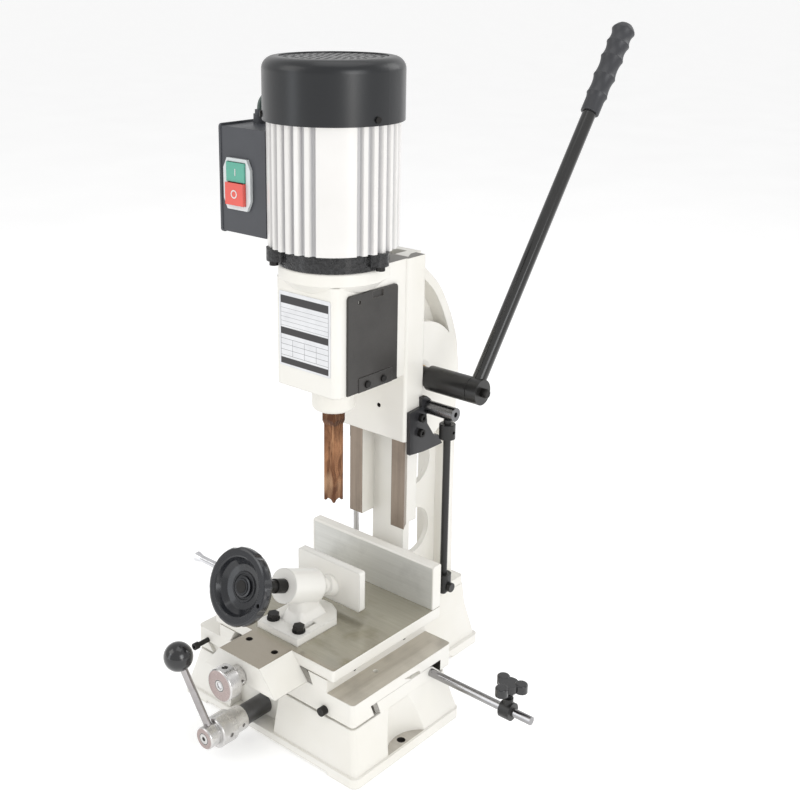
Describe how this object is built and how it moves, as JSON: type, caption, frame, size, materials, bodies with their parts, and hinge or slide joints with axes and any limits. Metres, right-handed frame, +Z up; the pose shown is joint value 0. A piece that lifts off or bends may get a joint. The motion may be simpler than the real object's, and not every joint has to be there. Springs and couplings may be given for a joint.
{
  "type": "benchtop hollow-chisel mortiser",
  "caption": "Benchtop hollow-chisel mortiser with rack-and-lever head, enclosed motor, fence, screw clamp and a two-way feed table",
  "frame": {"origin": "on the bench face, on the machine's mid-plane, under the chisel axis", "axes": "+X to the operator's right, -Y towards the operator, +Z up"},
  "size_m": [0.417, 0.6502, 0.8195],
  "materials": {
    "cream_casting": "smooth gloss enamel on fine castings",
    "dark_steel": "blackened fasteners",
    "bronze": "plain bearing bronze",
    "black_metal": "satin black",
    "bright_steel": "ground bright steel",
    "slide_steel": "ground sliding faces",
    "motor_white": "painted finned extrusion",
    "copper_core": "laminated stack",
    "chisel_steel": "copper brown drawn temper",
    "label": "bare plate with dark bands",
    "door_grey": "taupe grey sheet",
    "switch_grey": "dark grey moulding",
    "clear_plastic": "clear-white cover",
    "lead_green": "grey-green sheath",
    "green_plastic": "green push button",
    "red_plastic": "red push button",
    "black_rubber": "ribbed grip",
    "black_plastic": "polished knob",
    "machined_iron": "ground table face"
  },
  "bodies": {
    "frame": {"base_casting": "cream_casting", "column_bolts": "dark_steel", "column_casting": "cream_casting", "lever_shaft_bushes": "bronze", "depth_guide": "black_metal", "gas_strut_rod": "bright_steel", "x_feed_sleeve": "black_metal", "x_stop_rod": "bright_steel"},
    "head": {"head_casting": "cream_casting", "head_gib": "slide_steel", "head_rack": "dark_steel", "head_fasteners": "dark_steel", "motor_flange": "black_metal", "motor_body": "motor_white", "stator_core": "copper_core", "fan_cover": "black_metal", "motor_bearings": "bright_steel", "hollow_chisel": "chisel_steel", "chisel_bush": "dark_steel", "data_plate": "label", "door_hinge_strip": "door_grey", "switch_box": "switch_grey", "switch_frame": "clear_plastic", "motor_lead": "lead_green", "depth_bracket": "black_metal", "depth_standoff": "bright_steel", "depth_rod": "black_metal", "gas_strut_cylinder": "black_metal"},
    "spindle": {"rotor_shaft": "dark_steel", "chuck": "dark_steel", "auger_bit": "chisel_steel"},
    "door": {"access_door": "door_grey"},
    "start_button": {"green_button": "green_plastic"},
    "stop_button": {"red_button": "red_plastic"},
    "depth_stop": {"depth_collar": "black_metal"},
    "lever": {"lever_hub": "black_metal", "lever_tube": "black_metal", "lever_grip": "black_rubber", "pinion_shaft": "bright_steel"},
    "saddle": {"saddle_casting": "cream_casting", "saddle_gibs": "slide_steel", "saddle_screws": "dark_steel", "saddle_rack": "dark_steel"},
    "x_feed": {"x_feed_shaft": "bright_steel", "x_feed_hub": "bright_steel", "x_feed_lever": "bright_steel", "ball_knob": "black_plastic"},
    "table": {"table_casting": "cream_casting", "fence": "machined_iron", "table_screws": "dark_steel", "clamp_bracket": "cream_casting"},
    "y_feed": {"y_feed_screw": "bright_steel", "y_feed_hub": "bright_steel"},
    "clamp_wheel": {"clamp_screw": "dark_steel", "handwheel": "black_plastic", "wheel_handle": "bright_steel"},
    "jaw": {"clamp_jaw": "cream_casting"},
    "x_stop": {"x_stop_collar": "black_metal"},
    "x_stop_knob": {"x_stop_knob": "black_plastic"}
  },
  "joints": [
    {"name": "head_slide", "type": "slide", "parent": "frame", "child": "head", "axis": [0, 0, -1], "range_m": [0, 0.075]},
    {"name": "lever_turn", "type": "hinge", "parent": "frame", "child": "lever", "pos_m": [0, 0.118, 0.403], "axis": [1, 0, 0], "range_deg": [0, 120]},
    {"name": "spindle_turn", "type": "hinge", "parent": "head", "child": "spindle", "pos_m": [0, 0, 0.5], "axis": [0, 0, 1], "continuous": true},
    {"name": "door_turn", "type": "hinge", "parent": "head", "child": "door", "pos_m": [0.0498, 0, 0.4198], "axis": [0, 1, 0], "range_deg": [0, 115]},
    {"name": "start_press", "type": "slide", "parent": "head", "child": "start_button", "axis": [0, 1, 0], "range_m": [0, 0.0025], "stiffness_N_per_m": 400},
    {"name": "stop_press", "type": "slide", "parent": "head", "child": "stop_button", "axis": [0, 1, 0], "range_m": [0, 0.003], "stiffness_N_per_m": 400},
    {"name": "depth_stop_slide", "type": "slide", "parent": "head", "child": "depth_stop", "axis": [0, 0, -1], "range_m": [0, 0.09]},
    {"name": "saddle_slide", "type": "slide", "parent": "frame", "child": "saddle", "axis": [1, 0, 0], "range_m": [-0.045, 0.045]},
    {"name": "x_feed_turn", "type": "hinge", "parent": "frame", "child": "x_feed", "pos_m": [-0.02, 0, 0.0285], "axis": [0, 1, 0], "range_deg": [-172, 172]},
    {"name": "table_slide", "type": "slide", "parent": "saddle", "child": "table", "axis": [0, 1, 0], "range_m": [-0.026, 0.012]},
    {"name": "y_feed_turn", "type": "hinge", "parent": "table", "child": "y_feed", "pos_m": [0, -0.18, 0.103], "axis": [0, 1, 0], "range_deg": [-1873, 865]},
    {"name": "jaw_slide", "type": "slide", "parent": "table", "child": "jaw", "axis": [0, 0.9304, -0.3665], "range_m": [-0.002, 0.022]},
    {"name": "clamp_turn", "type": "hinge", "parent": "table", "child": "clamp_wheel", "pos_m": [0, -0.1575, 0.2141], "axis": [0, 0.9304, -0.3665], "range_deg": [-145, 1585]},
    {"name": "x_stop_slide", "type": "slide", "parent": "frame", "child": "x_stop", "axis": [1, 0, 0], "range_m": [-0.04, 0.023]},
    {"name": "x_stop_knob_turn", "type": "hinge", "parent": "x_stop", "child": "x_stop_knob", "pos_m": [0.24, 0.032, 0.09], "axis": [0, 0, 1], "range_deg": [-360, 360]}
  ],
  "couplings": [
    {"joint": "lever_turn", "follows": "head_slide", "rad_per_m": 27.778},
    {"joint": "x_feed_turn", "follows": "saddle_slide", "rad_per_m": 66.667},
    {"joint": "y_feed_turn", "follows": "table_slide", "rad_per_m": 1256.6},
    {"joint": "clamp_turn", "follows": "jaw_slide", "rad_per_m": 1256.6}
  ]
}
